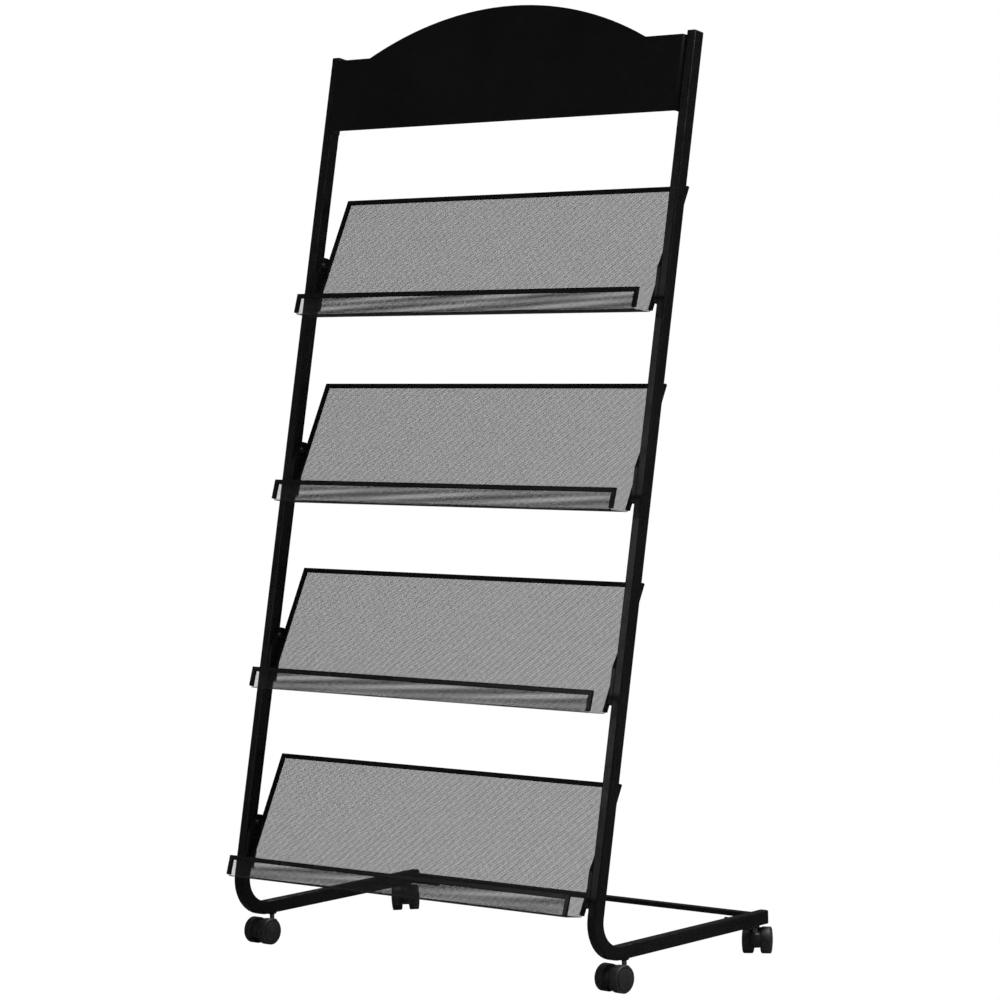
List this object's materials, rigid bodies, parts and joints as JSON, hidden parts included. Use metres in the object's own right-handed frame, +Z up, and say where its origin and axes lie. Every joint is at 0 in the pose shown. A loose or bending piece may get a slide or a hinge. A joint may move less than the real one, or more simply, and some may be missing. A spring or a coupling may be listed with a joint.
{
  "type": "newspaper rack",
  "caption": "Leaning floor rack with sloping wire-mesh trays between two bent side tubes, an arched header, a rear crossbar and swivelling twin-wheel casters.",
  "frame": {"origin": "on the floor, in the middle plane of the rack, midway between the front of the lowest tray and the rear of the casters", "axes": "+X to the right of someone facing the front of the rack; +Y from the front towards the rear, where the trays are reached from -Y; +Z up"},
  "size_m": [0.7436, 0.4498, 1.3742],
  "materials": {
    "frame_black": "satin black powder coat",
    "mesh_black": "satin black powder coat on fine expanded mesh",
    "screw_black": "black-coated steel",
    "plug_plastic": "fine-grained black moulded plastic",
    "caster_plastic": "black moulded nylon",
    "wheel_plastic": "black moulded nylon, lightly scuffed tread",
    "zinc_steel": "dull zinc-plated steel"
  },
  "bodies": {
    "rack": {"crossbar_screws": "screw_black", "front_left_caster_socket": "caster_plastic", "front_right_caster_socket": "caster_plastic", "header_panel": "frame_black", "header_screws": "screw_black", "left_leg_cap": "plug_plastic", "left_side_tube": "frame_black", "left_top_cap": "plug_plastic", "rear_crossbar": "frame_black", "rear_left_caster_socket": "caster_plastic", "rear_right_caster_socket": "caster_plastic", "right_leg_cap": "plug_plastic", "right_side_tube": "frame_black", "right_top_cap": "plug_plastic", "shelf_1_back_frame": "frame_black", "shelf_1_left_lug": "frame_black", "shelf_1_lip_frame": "frame_black", "shelf_1_mesh_tray": "mesh_black", "shelf_1_right_lug": "frame_black", "shelf_1_screws": "screw_black", "shelf_2_back_frame": "frame_black", "shelf_2_left_lug": "frame_black", "shelf_2_lip_frame": "frame_black", "shelf_2_mesh_tray": "mesh_black", "shelf_2_right_lug": "frame_black", "shelf_2_screws": "screw_black", "shelf_3_back_frame": "frame_black", "shelf_3_left_lug": "frame_black", "shelf_3_lip_frame": "frame_black", "shelf_3_mesh_tray": "mesh_black", "shelf_3_right_lug": "frame_black", "shelf_3_screws": "screw_black", "shelf_4_back_frame": "frame_black", "shelf_4_left_lug": "frame_black", "shelf_4_lip_frame": "frame_black", "shelf_4_mesh_tray": "mesh_black", "shelf_4_right_lug": "frame_black", "shelf_4_screws": "screw_black"},
    "front_left_swivel": {"front_left_caster_axle": "zinc_steel", "front_left_caster_body": "caster_plastic", "front_left_caster_stem": "zinc_steel"},
    "front_left_left_wheel": {"front_left_caster_left_wheel": "wheel_plastic"},
    "front_left_right_wheel": {"front_left_caster_right_wheel": "wheel_plastic"},
    "front_right_swivel": {"front_right_caster_axle": "zinc_steel", "front_right_caster_body": "caster_plastic", "front_right_caster_stem": "zinc_steel"},
    "front_right_left_wheel": {"front_right_caster_left_wheel": "wheel_plastic"},
    "front_right_right_wheel": {"front_right_caster_right_wheel": "wheel_plastic"},
    "rear_left_swivel": {"rear_left_caster_axle": "zinc_steel", "rear_left_caster_body": "caster_plastic", "rear_left_caster_stem": "zinc_steel"},
    "rear_left_left_wheel": {"rear_left_caster_left_wheel": "wheel_plastic"},
    "rear_left_right_wheel": {"rear_left_caster_right_wheel": "wheel_plastic"},
    "rear_right_swivel": {"rear_right_caster_axle": "zinc_steel", "rear_right_caster_body": "caster_plastic", "rear_right_caster_stem": "zinc_steel"},
    "rear_right_left_wheel": {"rear_right_caster_left_wheel": "wheel_plastic"},
    "rear_right_right_wheel": {"rear_right_caster_right_wheel": "wheel_plastic"}
  },
  "joints": [
    {"name": "front_left_swivel", "type": "hinge", "parent": "rack", "child": "front_left_swivel", "pos_m": [-0.34, -0.1175, 0.045], "axis": [0, 0, 1], "continuous": true},
    {"name": "front_left_left_wheel_spin", "type": "hinge", "parent": "front_left_swivel", "child": "front_left_left_wheel", "pos_m": [-0.34, -0.1385, 0.0195], "axis": [1, 0, 0], "continuous": true},
    {"name": "front_left_right_wheel_spin", "type": "hinge", "parent": "front_left_swivel", "child": "front_left_right_wheel", "pos_m": [-0.34, -0.1385, 0.0195], "axis": [1, 0, 0], "continuous": true},
    {"name": "front_right_swivel", "type": "hinge", "parent": "rack", "child": "front_right_swivel", "pos_m": [0.34, -0.1175, 0.045], "axis": [0, 0, 1], "continuous": true},
    {"name": "front_right_left_wheel_spin", "type": "hinge", "parent": "front_right_swivel", "child": "front_right_left_wheel", "pos_m": [0.3389, -0.13847, 0.0195], "axis": [0.9986, -0.0523, 0], "continuous": true},
    {"name": "front_right_right_wheel_spin", "type": "hinge", "parent": "front_right_swivel", "child": "front_right_right_wheel", "pos_m": [0.3389, -0.13847, 0.0195], "axis": [0.9986, -0.0523, 0], "continuous": true},
    {"name": "rear_left_swivel", "type": "hinge", "parent": "rack", "child": "rear_left_swivel", "pos_m": [-0.34, 0.181, 0.045], "axis": [0, 0, 1], "continuous": true},
    {"name": "rear_left_left_wheel_spin", "type": "hinge", "parent": "rear_left_swivel", "child": "rear_left_left_wheel", "pos_m": [-0.35561, 0.19505, 0.0195], "axis": [-0.6691, -0.7431, 0], "continuous": true},
    {"name": "rear_left_right_wheel_spin", "type": "hinge", "parent": "rear_left_swivel", "child": "rear_left_right_wheel", "pos_m": [-0.35561, 0.19505, 0.0195], "axis": [-0.6691, -0.7431, 0], "continuous": true},
    {"name": "rear_right_swivel", "type": "hinge", "parent": "rack", "child": "rear_right_swivel", "pos_m": [0.34, 0.181, 0.045], "axis": [0, 0, 1], "continuous": true},
    {"name": "rear_right_left_wheel_spin", "type": "hinge", "parent": "rear_right_swivel", "child": "rear_right_left_wheel", "pos_m": [0.32982, 0.19937, 0.0195], "axis": [-0.8746, -0.4848, 0], "continuous": true},
    {"name": "rear_right_right_wheel_spin", "type": "hinge", "parent": "rear_right_swivel", "child": "rear_right_right_wheel", "pos_m": [0.32982, 0.19937, 0.0195], "axis": [-0.8746, -0.4848, 0], "continuous": true}
  ]
}
